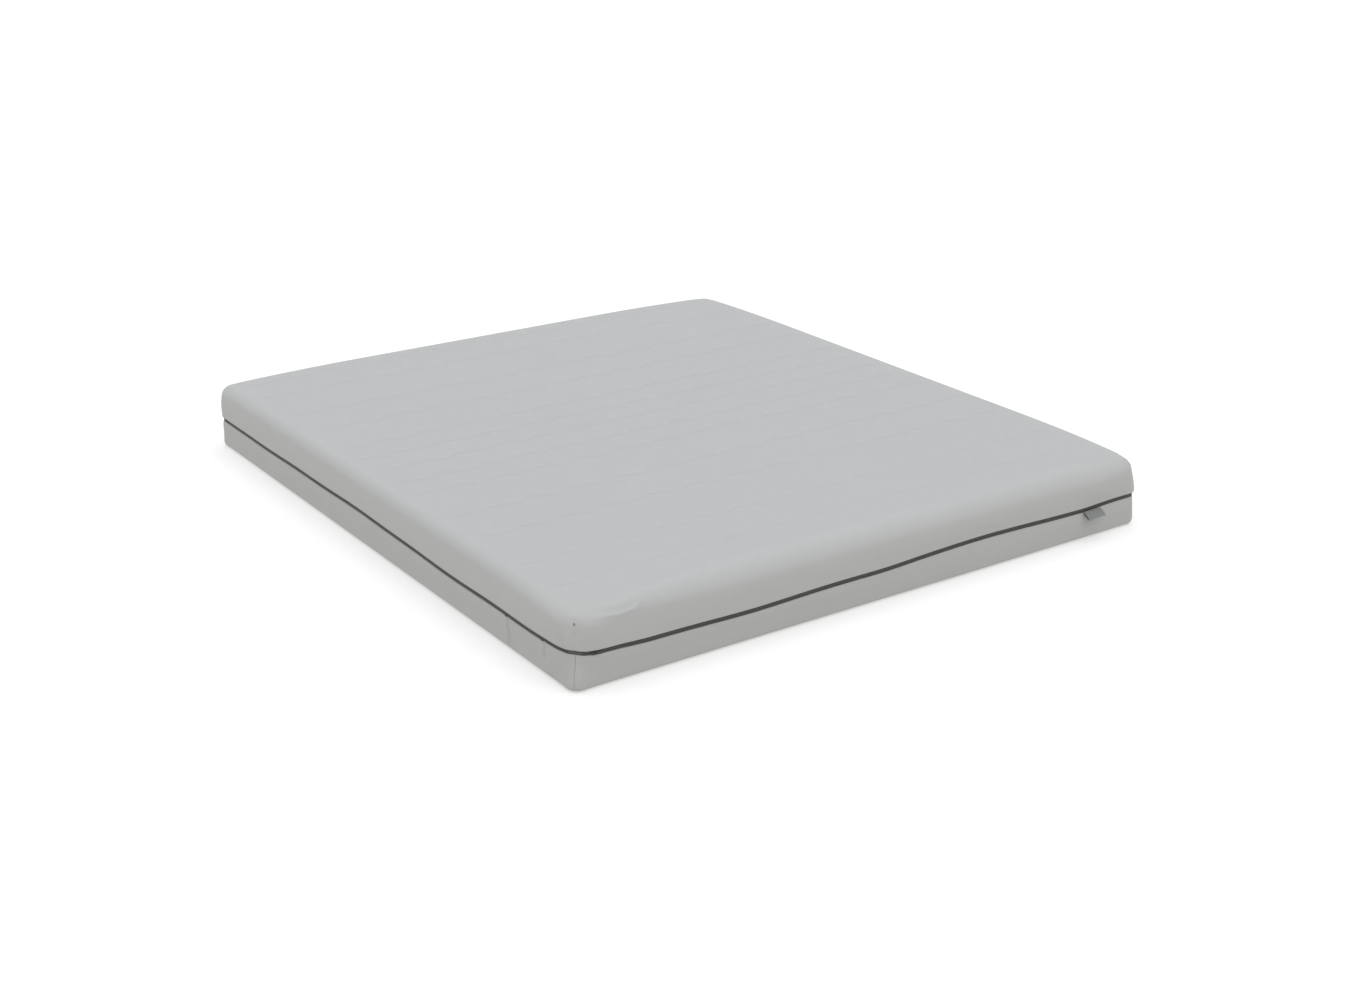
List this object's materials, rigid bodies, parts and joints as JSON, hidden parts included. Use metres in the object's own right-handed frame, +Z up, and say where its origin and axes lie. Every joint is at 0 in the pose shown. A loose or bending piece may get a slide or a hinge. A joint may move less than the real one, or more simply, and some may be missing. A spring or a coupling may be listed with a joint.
{
  "type": "pressure relief mattress",
  "caption": "Double foam mattress with a quilted knit cover that unzips all round, over a layered pressure-relief foam core.",
  "frame": {"origin": "centre of the underside, on the surface that the mattress lies on", "axes": "+Z up, +Y along the length towards the head end, +X across the width; the zip's ends and the slider are at the foot end's -X corner"},
  "size_m": [1.8, 2.0222, 0.2],
  "materials": {
    "quilted_knit": "pale grey double-knit cloth, quilted in wavy lines",
    "border_knit": "pale grey double-knit cloth, plain",
    "wadding": "white polyester fibre wadding",
    "backing": "thin white non-woven backing",
    "anti_slip_cloth": "grey woven cloth with raised grip dots",
    "zip_tape": "dark grey woven polyester tape",
    "zip_coil": "dark grey nylon coil",
    "slider_coating": "dark grey coating over die-cast zinc",
    "label_tape": "blank grey satin tape",
    "support_foam": "off-white open-cell foam",
    "comfort_foam": "pale blue open-cell foam",
    "memory_foam": "cream viscoelastic foam"
  },
  "bodies": {
    "bottom_cover": {"border_cloth_foot": "border_knit", "border_cloth_right": "border_knit", "border_cloth_head": "border_knit", "border_cloth_left": "border_knit", "border_wadding_foot": "wadding", "border_wadding_right": "wadding", "border_wadding_head": "wadding", "border_wadding_left": "wadding", "base_cloth": "anti_slip_cloth", "lower_zip_tape": "zip_tape", "lower_zip_coil": "zip_coil", "zip_end_tab": "zip_tape", "care_label": "label_tape", "support_foam": "support_foam", "comfort_foam": "comfort_foam", "memory_foam": "memory_foam"},
    "top_cover": {"top_cloth": "quilted_knit", "top_wadding": "wadding", "top_backing": "backing", "upper_zip_tape": "zip_tape", "upper_zip_coil": "zip_coil"},
    "zip_slider": {"zip_slider": "slider_coating"},
    "zip_pull": {"zip_pull": "slider_coating"}
  },
  "joints": [
    {"name": "cover_lift", "type": "slide", "parent": "bottom_cover", "child": "top_cover", "axis": [0, 0, 1], "range_m": [0, 0.15]},
    {"name": "zip_slide", "type": "slide", "parent": "bottom_cover", "child": "zip_slider", "axis": [1, 0, 0], "range_m": [0, 1.68]},
    {"name": "pull_swing", "type": "hinge", "parent": "zip_slider", "child": "zip_pull", "pos_m": [-0.84, -0.998, 0.087], "axis": [0, 0, -1], "range_deg": [0, 180]}
  ]
}
